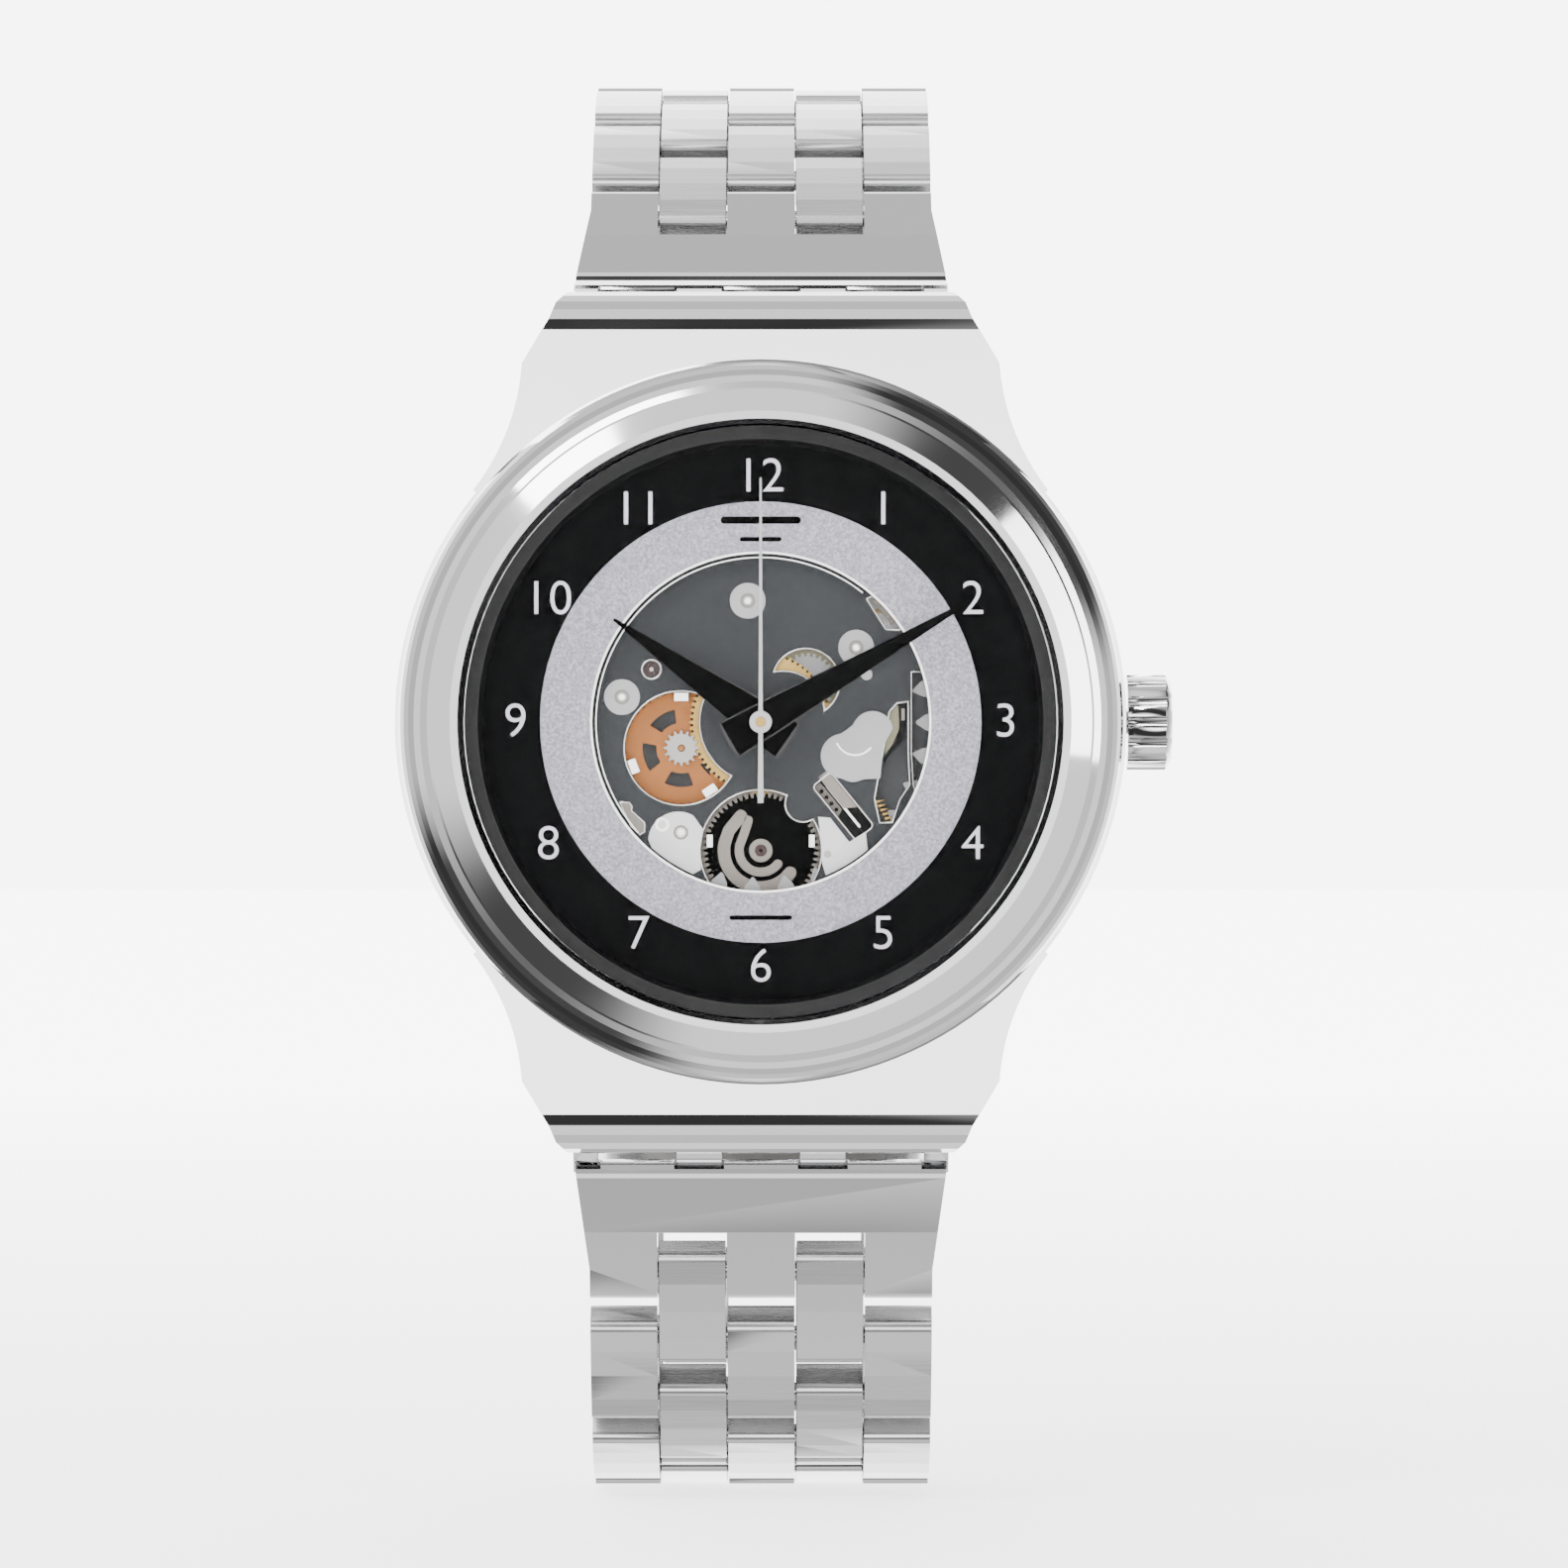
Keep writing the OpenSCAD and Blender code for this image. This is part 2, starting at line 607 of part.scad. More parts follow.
module end_link() color(steel) {
    difference() {
        union() {
            difference() {
                across([-end_half, end_half], end_section());
                for (c = inner_columns) translate([column_x(c)[0] - 0.07, -5, slot_w0])
                    cube([column_w + 0.14, 10, 8]);
                for (s = [0, 1]) mirror([s, 0, 0]) rotate([90, 0, 0]) translate([0, 0, -5])
                    linear_extrude(10) polygon([
                        [end_half + 0.01, body_w0 - 1], [strand_half, end_len - 0.5],
                        [strand_half, end_len + 3], [end_half + 3, end_len + 3],
                        [end_half + 3, body_w0 - 1]]);
            }
            for (k = knuckle_link) across(k, concat(arc([0, 0], knuckle_r, 270, 90, 12),
                [[body_w0 + 0.8, 0.5], [body_w0 + 0.8, -0.9]]));
        }
        cross_pin([-12, 12], 0, lug_pin_r + running);
        cross_pin([-12, 12], end_len, pin_r + 0.02);
    }
    cross_pin([-strand_half + 0.15, strand_half - 0.15], end_len, pin_r);
}
module end_link_12() on_strand(1, lug_pin, end_angle_12) end_link();
module end_link_6() on_strand(-1, lug_pin, end_angle_6) end_link();

module lug_pins() color(steel) for (s = [1, -1]) on_strand(s, lug_pin, 0)
    cross_pin([-10.8, 10.8], 0, lug_pin_r);

// ---- clasp, drawn along +Z from the upper pin and folded flat ----

inner_n = [-1.35, -0.75];
middle_n = [-0.5, 0.1];
cover_n = [0.35, 1.45];
blade_half = 7.6;
cover_half = 9.95;
cover_crown_r = 160;
fold_1 = clasp_len - fold_inset;
fold_2 = fold_lead;
fold_1_n = -0.62;
fold_2_n = 0.2;
fold_r = 0.62;
button_n = -0.35;

module on_clasp() translate([0, clasp_top[0], clasp_top[1]]) rotate([180 + clasp_tilt, 0, 0]) children();

// Draws a plate between two heights along the clasp
module plate(x, w, n) translate([x[0], -n[1], w[0]]) cube([x[1] - x[0], n[1] - n[0], w[1] - w[0]]);
module fold_pin(x, w, n, r) translate([0, -n, 0]) cross_pin(x, w, r);

module clasp_inner_blade() on_clasp() color(steel) {
    difference() {
        union() {
            plate([-blade_half, blade_half], [2.3, fold_1 - 1.0], inner_n);
            for (c = inner_columns) {
                across(column_x(c), concat(arc([0, 0], 1.15, 270, 90, 10),
                                           [[1.9, 0.1], [2.9, inner_n[1]], [2.9, inner_n[0]]]));
            }
            for (x = [-7.6, 5.0]) {
                plate([x, x + 2.6], [fold_1 - 1.2, fold_1], inner_n);
                fold_pin([x, x + 2.6], fold_1, fold_1_n, fold_r);
            }
        }
        cross_pin([-12, 12], 0, pin_r + running);
        fold_pin([-12, 12], fold_1, fold_1_n, 0.32);
        for (w = [10:7:31]) plate([-4.2, 4.2], [w, w + 4], [-3, 3]);
    }
    fold_pin([-7.5, 7.5], fold_1, fold_1_n, 0.28);
}

module clasp_middle_blade() on_clasp() color(steel) {
    difference() {
        union() {
            plate([-blade_half, blade_half], [fold_2 + 1.0, fold_1 - 1.0], middle_n);
            plate([-4.8, 4.8], [fold_1 - 1.1, fold_1], [-0.5, 0]);
            fold_pin([-4.8, 4.8], fold_1, fold_1_n, fold_r);
            plate([-4.8, 4.8], [fold_2, fold_2 + 1.1], [-0.4, 0.1]);
            fold_pin([-4.8, 4.8], fold_2, fold_2_n, fold_r);
        }
        fold_pin([-12, 12], fold_1, fold_1_n, 0.32);
        fold_pin([-12, 12], fold_2, fold_2_n, 0.32);
        plate([-3.4, 3.4], [13, 31], [-3, 3]);
    }
    fold_pin([-9.4, 9.4], fold_2, fold_2_n, 0.28);
}

cover_w = [fold_2 - 0.85, clasp_len - 2.6];
module clasp_cover() on_clasp() color(steel) difference() {
    union() {
        intersection() {
            plate([-cover_half, cover_half], cover_w, [-1.35, 2]);
            translate([0, cover_crown_r - cover_n[1], -1]) cylinder(r = cover_crown_r, h = 80, $fn = 720);
        }
        for (c = inner_columns)
            plate(column_x(c), [cover_w[1] - 0.5, clasp_len - pin_r - 0.25], [cover_n[0], 1.0]);
    }
    plate([-cover_half + 0.75, cover_half - 0.75], [cover_w[0] - 1, cover_w[1] + 1], [-3, cover_n[0]]);
    plate([-4.95, 4.95], [fold_2 - 0.85, fold_2 + 0.85], [-1, 1.0]);
    fold_pin([-9.45, 9.45], fold_2, fold_2_n, 0.32);
    for (s = [-1, 1]) translate([s * cover_half, -button_n, button_at])
        cube([1.6, 1.25, button_len + 0.2], center = true);
}

module clasp_button(side) on_clasp() color(steel) translate([side * cover_half, -button_n, button_at]) {
    cube([1.1, 1.1, button_len], center = true);
    translate([side * 0.45, 0, 0]) cube([0.5, 0.9, button_len - 0.4], center = true);
}
module clasp_button_left() clasp_button(-1);
module clasp_button_right() clasp_button(1);

case_middle();
bezel();
crystal();
crystal_gasket();
flange_ring();
dial();
caseback_ring();
caseback_crystal();
crown();
winding_stem();
stem_clip();
movement_holder();
main_plate();
train_bridge();
date_ring();
hour_wheel();
minute_wheel();
cannon_pinion();
setting_wheel();
barrel();
mainspring();
centre_wheel();
third_wheel();
fourth_wheel();
balance_wheel();
balance_spring();
rotor();
plate_studs();
hour_hand();
minute_hand();
second_hand();
lug_pins();
end_link_12();
end_link_6();
clasp_inner_blade();
clasp_middle_blade();
clasp_cover();
clasp_button_left();
clasp_button_right();
for (i = [1:rows]) links_12(i);
for (i = [1:rows]) links_6(i);
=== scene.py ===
"""Looks of the wristwatch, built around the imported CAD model.

Lengths are in millimetres until MM turns them into metres. Z points to twelve o'clock.
Y grows away from the viewer, so a height h above the caseback's face is y = -h.
"""
import math

import bpy
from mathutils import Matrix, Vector


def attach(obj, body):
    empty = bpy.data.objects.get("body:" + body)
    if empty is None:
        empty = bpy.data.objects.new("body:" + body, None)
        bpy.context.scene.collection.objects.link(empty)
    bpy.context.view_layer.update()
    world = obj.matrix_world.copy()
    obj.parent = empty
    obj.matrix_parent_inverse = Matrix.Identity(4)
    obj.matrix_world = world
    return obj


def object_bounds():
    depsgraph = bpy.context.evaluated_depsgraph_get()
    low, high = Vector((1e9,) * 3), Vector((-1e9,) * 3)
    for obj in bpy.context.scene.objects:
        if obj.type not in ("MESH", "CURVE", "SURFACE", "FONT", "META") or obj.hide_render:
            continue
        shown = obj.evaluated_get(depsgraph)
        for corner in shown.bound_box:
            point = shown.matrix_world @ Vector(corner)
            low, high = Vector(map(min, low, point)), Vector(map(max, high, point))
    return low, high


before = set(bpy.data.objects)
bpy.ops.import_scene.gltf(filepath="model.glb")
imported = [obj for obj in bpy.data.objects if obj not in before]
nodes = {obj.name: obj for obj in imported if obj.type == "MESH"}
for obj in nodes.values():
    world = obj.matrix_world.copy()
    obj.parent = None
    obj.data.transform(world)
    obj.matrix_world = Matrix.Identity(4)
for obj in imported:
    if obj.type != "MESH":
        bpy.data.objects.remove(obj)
cad_low, cad_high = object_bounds()
MM = 0.001


# ---- materials ----

def new_material(name, base, metallic, roughness):
    """A Principled material, its node tree and its shader."""
    mat = bpy.data.materials.new(name)
    mat.use_nodes = True
    tree = mat.node_tree
    shader = tree.nodes["Principled BSDF"]
    shader.inputs["Base Color"].default_value = (*base, 1)
    shader.inputs["Metallic"].default_value = metallic
    shader.inputs["Roughness"].default_value = roughness
    return mat, tree, shader


def noise(tree, scale, detail=2, stretch=(1, 1, 1)):
    """Noise in object space, in cycles per metre, stretched along each axis."""
    coords = tree.nodes.new("ShaderNodeTexCoord")
    mapping = tree.nodes.new("ShaderNodeMapping")
    mapping.inputs["Scale"].default_value = stretch
    texture = tree.nodes.new("ShaderNodeTexNoise")
    texture.inputs["Scale"].default_value = scale
    texture.inputs["Detail"].default_value = detail
    tree.links.new(coords.outputs["Object"], mapping.inputs["Vector"])
    tree.links.new(mapping.outputs["Vector"], texture.inputs["Vector"])
    return texture


def ramp(tree, source, stops):
    """A colour ramp from [(position, grey or colour)]."""
    node = tree.nodes.new("ShaderNodeValToRGB")
    while len(node.color_ramp.elements) < len(stops):
        node.color_ramp.elements.new(1)
    for element, (position, colour) in zip(node.color_ramp.elements, stops):
        element.position = position
        element.color = (*colour, 1) if isinstance(colour, tuple) else (colour, colour, colour, 1)
    tree.links.new(source, node.inputs["Fac"])
    return node


def bump(tree, shader, height, distance, strength):
    node = tree.nodes.new("ShaderNodeBump")
    node.inputs["Distance"].default_value = distance
    node.inputs["Strength"].default_value = strength
    tree.links.new(height, node.inputs["Height"])
    tree.links.new(node.outputs["Normal"], shader.inputs["Normal"])


def map_range(tree, source, limits):
    """Maps a value from one range to another: limits are from low, from high, to low, to high."""
    node = tree.nodes.new("ShaderNodeMapRange")
    for socket, limit in zip(("From Min", "From Max", "To Min", "To Max"), limits):
        node.inputs[socket].default_value = limit
    tree.links.new(source, node.inputs["Value"])
    return node


def polished_steel():
    mat, tree, shader = new_material("polished_steel", (0.66, 0.66, 0.665), 1, 0.07)
    smear = noise(tree, 90)
    rough = ramp(tree, smear.outputs["Fac"], [(0.35, 0.05), (0.7, 0.11)])
    tree.links.new(rough.outputs["Color"], shader.inputs["Roughness"])
    return mat


BRUSH_DEPTH = 0.004
BRUSH_STRENGTH = 0.15
BRUSH_STRETCH = (1, 60, 60)


def satin_steel():
    """Steel brushed across the bracelet: fine lines by stretched noise."""
    mat, tree, shader = new_material("satin_steel", (0.5, 0.5, 0.5), 1, 0.24)
    lines = noise(tree, 160, 3, BRUSH_STRETCH)
    rough = ramp(tree, lines.outputs["Fac"], [(0.3, 0.19), (0.75, 0.33)])
    tree.links.new(rough.outputs["Color"], shader.inputs["Roughness"])
    tone = ramp(tree, lines.outputs["Fac"], [(0.3, 0.48), (0.75, 0.58)])
    tree.links.new(tone.outputs["Color"], shader.inputs["Base Color"])
    bump(tree, shader, lines.outputs["Fac"], BRUSH_DEPTH * MM, BRUSH_STRENGTH)
    return mat


def grainy_black():
    mat, tree, shader = new_material("grainy_black", (0.004, 0.004, 0.005), 0, 0.5)
    grain = noise(tree, 9000, 1)
    tone = ramp(tree, grain.outputs["Fac"], [(0.5, 0.0006), (0.78, (0.012, 0.012, 0.014))])
    tree.links.new(tone.outputs["Color"], shader.inputs["Base Color"])
    shader.inputs["Specular IOR Level"].default_value = 0.02
    return mat


def speckled_silver():
    mat, tree, shader = new_material("speckled_silver", (0.6, 0.58, 0.66), 0.35, 0.45)
    grain = noise(tree, 7000, 1)
    tone = ramp(tree, grain.outputs["Fac"],
                [(0.3, (0.23, 0.225, 0.27)), (0.5, (0.32, 0.31, 0.36)), (0.72, (0.46, 0.45, 0.50))])
    tree.links.new(tone.outputs["Color"], shader.inputs["Base Color"])
    return mat


CLOUD_SCALE = 900
CLOUD_STOPS = (0.3, 0.7)
TONE_SPREAD = (0.93, 1.05)
ROUGHNESS_SPREAD = (0.9, 1.1)


def plain(name, base, metallic=0, roughness=0.4, specular=0.5):
    """One colour with faint clouds in its tone and roughness."""
    mat, tree, shader = new_material(name, base, metallic, roughness)
    shader.inputs["Specular IOR Level"].default_value = specular
    clouds = noise(tree, CLOUD_SCALE, 3)
    tones = [(place, tuple(share * part for part in base)) for place, share in zip(CLOUD_STOPS, TONE_SPREAD)]
    tone = ramp(tree, clouds.outputs["Fac"], tones)
    tree.links.new(tone.outputs["Color"], shader.inputs["Base Color"])
    roughs = [(place, share * roughness) for place, share in zip(CLOUD_STOPS, ROUGHNESS_SPREAD)]
    rough = ramp(tree, clouds.outputs["Fac"], roughs)
    tree.links.new(rough.outputs["Color"], shader.inputs["Roughness"])
    return mat


def clear_glass():
    mat, tree, shader = new_material("clear_glass", (0, 0, 0), 0, 0.02)
    shader.inputs["Alpha"].default_value = 0.018
    shader.inputs["IOR"].default_value = 1.5
    smear = noise(tree, 120)
    rough = ramp(tree, smear.outputs["Fac"], [(0.35, 0.01), (0.7, 0.04)])
    tree.links.new(rough.outputs["Color"], shader.inputs["Roughness"])
    return mat


def grey_plate():
    mat, tree, shader = new_material("grey_plate", (0.065, 0.072, 0.08), 0.3, 0.5)
    shade = noise(tree, 60)
    tone = ramp(tree, shade.outputs["Fac"], [(0.3, (0.021, 0.024, 0.027)), (0.7, (0.029, 0.032, 0.036))])
    tree.links.new(tone.outputs["Color"], shader.inputs["Base Color"])
    return mat


POLISHED = polished_steel()
SATIN = satin_steel()
BLACK = plain("black_lacquer", (0.001, 0.001, 0.001), 0, 0.35, 0.02)
DARK = plain("dark_flange", (0.004, 0.004, 0.004), 0, 0.4, 0.08)
GRAINY = grainy_black()
SILVER = speckled_silver()
NUMERAL = plain("numeral_paint", (0.66, 0.63, 0.70), 0, 0.5)
GLASS = clear_glass()
PLATE = grey_plate()
PALE = plain("pale_nickel", (0.42, 0.42, 0.43), 0.5, 0.45)
WHITE = plain("white_nickel", (0.72, 0.72, 0.72), 0.35, 0.45)
RIM = plain("bright_rim", (0.86, 0.85, 0.82), 0.8, 0.25)
GILT = plain("gilt_brass", (0.40, 0.26, 0.08), 0.9, 0.32)
COPPER = plain("copper_wheel", (0.42, 0.15, 0.035), 0.4, 0.45)
STEEL = plain("bare_steel", (0.36, 0.355, 0.34), 1, 0.32)
DARK_STEEL = plain("dark_steel", (0.006, 0.006, 0.006), 0.2, 0.4, 0.15)
JEWEL = plain("ruby_jewel", (0.022, 0.005, 0.004), 0, 0.1, 0.25)
RUBBER = plain("black_rubber", (0.012, 0.012, 0.012), 0, 0.7)
HAND_EDGE = plain("hand_edge", (0.035, 0.035, 0.036), 0.8, 0.3)
PALE_HAND = plain("pale_hand", (0.36, 0.36, 0.36), 0.8, 0.3)
TAUPE = plain("taupe_nickel", (0.24, 0.215, 0.19), 0.35, 0.42)
OLIVE = plain("olive_nickel", (0.22, 0.205, 0.13), 0.4, 0.4)
GREY_FLOOR = plain("grey_floor", (0.045, 0.047, 0.05), 0.3, 0.5)


# ---- CAD nodes ----

def paint(material, *names):
    for name in names:
        for slot in nodes[name].material_slots:
            slot.material = material


WELD_DISTANCE = 1e-6
EDGE_ANGLE = 32
LINK_EDGE = 0.08
CASE_EDGE = 0.12


def soften_edges(name, width):
    """Welds a CAD node's faces and rounds its edges, so that they catch the light."""
    weld = nodes[name].modifiers.new("weld", "WELD")
    weld.merge_threshold = WELD_DISTANCE
    edge = nodes[name].modifiers.new("edges", "BEVEL")
    edge.width = width * MM
    edge.segments = 2
    edge.limit_method = "ANGLE"
    edge.angle_limit = math.radians(EDGE_ANGLE)
    edge.use_clamp_overlap = True
    edge.harden_normals = True


ROWS = 10
strand_rows = [f"links_{side}_{i}" for side in (12, 6) for i in range(1, ROWS + 1)]
end_links = ["end_link_12", "end_link_6"]
paint(POLISHED, "case_middle", "bezel", "caseback_ring", "crown", "clasp_cover", "clasp_button_left",
      "clasp_button_right", *end_links)
paint(SATIN, *strand_rows)
paint(STEEL, "winding_stem", "stem_clip", "cannon_pinion", "setting_wheel", "mainspring", "balance_spring",
      "rotor", "lug_pins", "clasp_inner_blade", "clasp_middle_blade")
paint(GLASS, "crystal", "caseback_crystal")
paint(RUBBER, "crystal_gasket")
paint(DARK, "flange_ring")
paint(GRAINY, "dial")
paint(PLATE, "main_plate", "train_bridge")
paint(PALE, "date_ring", "plate_studs", "movement_holder")
paint(GILT, "hour_wheel", "centre_wheel", "third_wheel", "fourth_wheel", "balance_wheel")
paint(COPPER, "minute_wheel")
paint(TAUPE, "barrel")
paint(HAND_EDGE, "hour_hand", "minute_hand")
paint(PALE_HAND, "second_hand")
for name in strand_rows + end_links:
    soften_edges(name, LINK_EDGE)
for name in ("case_middle", "crown", "clasp_cover"):
    soften_edges(name, CASE_EDGE)


# ---- flat pieces made from outlines ----

def polar(radius, angle):
    """A point at an angle in degrees, anticlockwise from three o'clock."""
    return radius * math.cos(math.radians(angle)), radius * math.sin(math.radians(angle))


def shifted(points, centre):
    return [(centre[0] + x, centre[1] + z) for x, z in points]


def ring(centre, radius, count=96):
    return shifted([polar(radius, 360 * i / count) for i in range(count)], centre)


def add_loop(curve, outline):
    """Adds a closed outline to a curve."""
    spline = curve.splines.new("POLY")
    spline.points.add(len(outline) - 1)
    for point, (x, z) in zip(spline.points, outline):
        point.co = (x * MM, z * MM, 0, 1)
    spline.use_cyclic_u = True


def flat_piece(name, outlines, h0, h1, body, material, chamfer=0.0):
    """A plate from closed outlines in X and Z, holes included, between two heights."""
    curve = bpy.data.curves.new(name, "CURVE")
    curve.dimensions = "2D"
    curve.fill_mode = "BOTH"
    curve.extrude = ((h1 - h0) / 2 - chamfer) * MM
    curve.bevel_depth = chamfer * MM
    curve.offset = -chamfer * MM
    curve.bevel_resolution = 1
    for outline in outlines:
        add_loop(curve, outline)
    return finish_curve(name, curve, (0, -(h0 + h1) / 2 * MM, 0), body, material)


def finish_curve(name, curve, place, body, material):
    """Turns a flat curve into a mesh that faces the viewer, and lets it ride on its body."""
    source = bpy.data.objects.new(name + "_curve", curve)
    bpy.context.scene.collection.objects.link(source)
    source.rotation_euler = (math.pi / 2, 0, 0)
    source.location = place
    bpy.context.view_layer.update()
    mesh = bpy.data.meshes.new_from_object(source.evaluated_get(bpy.context.evaluated_depsgraph_get()))
    mesh.transform(source.matrix_world)
    mesh.name = name
    bpy.data.objects.remove(source)
    piece = bpy.data.objects.new(name, mesh)
    bpy.context.scene.collection.objects.link(piece)
    mesh.materials.clear()
    mesh.materials.append(material)
    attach(piece, body)
    return piece


CAP_SHARE = 0.73
NUMERAL_THICK = 0.02
NUMERAL_THINNING = -0.022


def numeral(text, centre, height, h):
    """One hour numeral, centred on a point of the dial."""
    curve = bpy.data.curves.new("numeral_" + text, "FONT")
    curve.body = text
    curve.align_x = "CENTER"
    curve.align_y = "CENTER"
    curve.size = height / CAP_SHARE * MM
    curve.extrude = NUMERAL_THICK * MM
    curve.resolution_u = 8
    curve.offset = NUMERAL_THINNING * MM
    return finish_curve("numeral_" + text, curve, (centre[0] * MM, -h * MM, centre[1] * MM), "case",
                        NUMERAL)


DIAL_TOP = 8.2
OPENING_R = 9.7
SILVER_R = 12.7
NUMERAL_R = 14.1
NUMERAL_HEIGHT = 2.05
for hour in range(1, 13):
    numeral(str(hour), polar(NUMERAL_R, 90 - 30 * hour), NUMERAL_HEIGHT, DIAL_TOP + 0.03)
flat_piece("silver_ring", [ring((0, 0), SILVER_R), ring((0, 0), OPENING_R + 0.12)], DIAL_TOP, DIAL_TOP + 0.02,
           "case", SILVER)
flat_piece("opening_rim", [ring((0, 0), OPENING_R + 0.12), ring((0, 0), OPENING_R)], DIAL_TOP - 0.05,
           DIAL_TOP + 0.04, "case", RIM)


# ---- movement seen through the dial ----

PLATE_TOP = 7.3
# Heights of what lies under the plate's windows
LEVER_HEAD_LEVEL = 7.2
CLICK_BAR_LEVEL = 7.0
ARM_LEVEL = 6.9
CORNER_CLIP_LEVEL = 6.8
YOKE_LEVEL = 6.75
CORNER_TOOTH_LEVEL = 6.7
CLICK_TOOTH_LEVEL = 6.6
CLICK_SIDE_LEVEL = 6.52
LEVER_FLOOR = 6.5
DATE_FLOOR = 6.47
CLICK_FLOOR = 6.45
TAB_LEVEL = 6.1
BARREL_SEAT = 5.85
SLOT_FLOOR = 5.58
FINE_CHAMFER = 0.005
BAR_CHAMFER = 0.004
GEAR_TOP = 6.4
MINUTE_AT = polar(4.82, 198)
BARREL_AT = (0, -7.4)
SETTING_AT = polar(3.535, 41)
SETTING_FACE = 6.07
SETTING_WINDOW = (2.6, 2.3)
STUDS = [(-0.75, 7.0), (5.5, 4.3), (-8.0, 1.45), (-4.6, -6.35)]
JEWEL_AT = (-6.3, 3.05)
SLOT_AT = (4.75, -4.85)
SLOT_ANGLE = -51


def arc(centre, radius, start, end, count=24):
    """Points of an arc, both ends included."""
    return shifted([polar(radius, start + (end - start) * i / count) for i in range(count + 1)], centre)


def turn(points, centre, angle):
    c, s = polar(1, angle)
    return [(centre[0] + x * c - z * s, centre[1] + x * s + z * c) for x, z in points]


def rounded_box(width, height, radius):
    x, z = width / 2 - radius, height / 2 - radius
    return (arc((x, z), radius, 0, 90, 6) + arc((-x, z), radius, 90, 180, 6)
            + arc((-x, -z), radius, 180, 270, 6) + arc((x, -z), radius, 270, 360, 6))


def band(path, width):
    """Outline of a round-ended strip along a path."""
    sides = ([], [])
    for i, (x, z) in enumerate(path):
        before, after = path[max(i - 1, 0)], path[min(i + 1, len(path) - 1)]
        along = Vector((after[0] - before[0], after[1] - before[1])).normalized()
        for side, points in zip((1, -1), sides):
            points.append((x - side * along.y * width / 2, z + side * along.x * width / 2))
    caps = []
    for tip, neighbour in ((path[-1], path[-2]), (path[0], path[1])):
        angle = math.degrees(math.atan2(tip[1] - neighbour[1], tip[0] - neighbour[0]))
        caps.append(arc(tip, width / 2, angle + 80, angle - 80, 8))
    return sides[0] + caps[0] + sides[1][::-1] + caps[1]


def outer_crossings(centre, radius, cut_centre, cut_radius):
    """Angles on a circle where a cutting circle meets it."""
    dx, dz = cut_centre[0] - centre[0], cut_centre[1] - centre[1]
    gap = math.hypot(dx, dz)
    middle = math.degrees(math.atan2(dz, dx))
    half = math.degrees(math.acos((radius ** 2 + gap ** 2 - cut_radius ** 2) / (2 * radius * gap)))
    return middle - half, middle + half


def bitten_disc(centre, radius, cut_centre, cut_radius, count=40):
    """Outline of a disc with a round bite."""
    low, high = outer_crossings(centre, radius, cut_centre, cut_radius)
    back_low, back_high = outer_crossings(cut_centre, cut_radius, centre, radius)
    return (arc(centre, radius, high, low + 360, count)
            + arc(cut_centre, cut_radius, back_high, back_low, count)[1:-1])


def rim(name, outline, h=PLATE_TOP, width=0.11):
    """Bright turned edge that follows a window of the plate."""
    curve = bpy.data.curves.new(name, "CURVE")
    curve.dimensions = "2D"
    curve.fill_mode = "NONE"
    curve.bevel_depth = width / 2 * MM
    curve.bevel_resolution = 2
    add_loop(curve, outline)
    return finish_curve(name, curve, (0, -(h + 0.01) * MM, 0), "case", RIM)


def plate_piece(name, outlines, h, material=PALE, thick=0.08, body="case", chamfer=0.02):
    """A thin pressed plate whose back lies at a height."""
    return flat_piece(name, outlines, h, h + thick, body, material, chamfer)


minute_window = bitten_disc(MINUTE_AT, 3.3, (0, 0), 3.52)
barrel_window = bitten_disc(BARREL_AT, 3.52, (2.45, -4.7), 1.05)
setting_window = bitten_disc(SETTING_WINDOW, 1.95, (1.3, 0.6), 2.35)
slot_window = turn(rounded_box(4, 1.35, 0.25), SLOT_AT, SLOT_ANGLE)
lever_window = [(7.85, 1.1), (7.4, 0.6), (7.1, -1.4), (6.55, -4.4), (6.85, -5.8),
                (7.6, -5.8), (8.0, -4.5), (8.6, -3.6), (8.5, -1.7), (8.5, 1.2)]
corner_window = [(6.1, 7.1), (7.2, 5.35), (8.0, 5.3), (8.6, 6.6), (7.4, 7.8)]
rim("minute_window_rim", minute_window)
rim("barrel_window_rim", barrel_window)
rim("setting_window_rim", setting_window)
rim("slot_rim", slot_window)
rim("lever_window_rim", lever_window)
rim("corner_window_rim", corner_window)
rim("date_strip_rim", [(8.68, 2.9), (9.9, 2.9), (9.9, -5.2), (8.8, -3.75), (8.68, -1.7)], width=0.07)

plate_piece("plate_edge", [band(arc((0, 0), 9.5, 52, 222, 90), 0.1)], PLATE_TOP, RIM, 0.06)

# Riveted discs: a ring around each rivet's dimple
for i, at in enumerate(STUDS):
    plate_piece(f"rivet_{i + 1}", [ring(at, 0.42, 32), ring(at, 0.3, 32)], PLATE_TOP + 0.05, TAUPE, 0.05)
    plate_piece(f"rivet_core_{i + 1}", [ring(at, 0.2, 24)], PLATE_TOP + 0.02, RIM, 0.07)
plate_piece("small_stud", [ring((6.1, 2.75), 0.33, 32)], PLATE_TOP)

# Jewel in its bright setting
rim("jewel_setting", ring(JEWEL_AT, 0.55, 40), width=0.14)
plate_piece("jewel", [ring(JEWEL_AT, 0.5, 40), ring(JEWEL_AT, 0.13, 16)], PLATE_TOP - 0.25, JEWEL, 0.15)
plate_piece("jewel_bottom", [ring(JEWEL_AT, 0.48, 24)], PLATE_TOP - 0.45, STEEL, 0.08)

